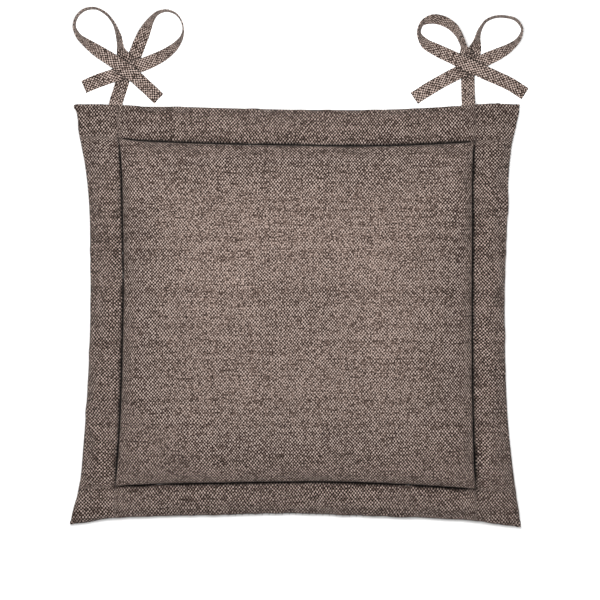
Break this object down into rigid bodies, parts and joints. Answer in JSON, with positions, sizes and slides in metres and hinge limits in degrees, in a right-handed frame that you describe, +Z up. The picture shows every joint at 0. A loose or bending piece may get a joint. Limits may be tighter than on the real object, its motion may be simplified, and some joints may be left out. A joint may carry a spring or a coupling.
{
  "type": "seat cushion",
  "caption": "Square tie-on chair cushion with pulled-in sides, a raised foam panel inside a stitched line, a padded border and fabric ties knotted in bows at the back.",
  "frame": {"origin": "centre of the cushion's underside, on the surface that it lies on", "axes": "+Z up through the thickness, +Y to the back edge that carries the ties, +X to the right as seen by someone in front looking towards +Y"},
  "size_m": [0.4082, 0.4611, 0.03],
  "materials": {
    "cover_fabric": "matte",
    "tie_fabric": "matte",
    "wadding": "matte",
    "foam": "matte",
    "thread": "satin"
  },
  "bodies": {
    "cushion": {"top_cover": "cover_fabric", "bottom_cover": "cover_fabric", "top_wadding": "wadding", "bottom_wadding": "wadding", "foam_core": "foam", "quilting_needle_thread": "thread", "quilting_bobbin_thread": "thread", "edge_seam_needle_thread": "thread", "edge_seam_bobbin_thread": "thread", "closing_stitches": "thread", "left_tie_anchor": "tie_fabric", "right_tie_anchor": "tie_fabric", "left_tie_bartack": "thread", "right_tie_bartack": "thread"},
    "left_tie": {"left_tie_upper_strap": "tie_fabric", "left_tie_lower_strap": "tie_fabric"},
    "right_tie": {"right_tie_upper_strap": "tie_fabric", "right_tie_lower_strap": "tie_fabric"}
  },
  "joints": [
    {"name": "left_tie_swing", "type": "hinge", "parent": "cushion", "child": "left_tie", "pos_m": [-0.161, 0.1881, 0.0075], "axis": [1, 0, 0], "range_deg": [-60, 120]},
    {"name": "right_tie_swing", "type": "hinge", "parent": "cushion", "child": "right_tie", "pos_m": [0.154, 0.1878, 0.0075], "axis": [1, 0, 0], "range_deg": [-60, 120]}
  ]
}
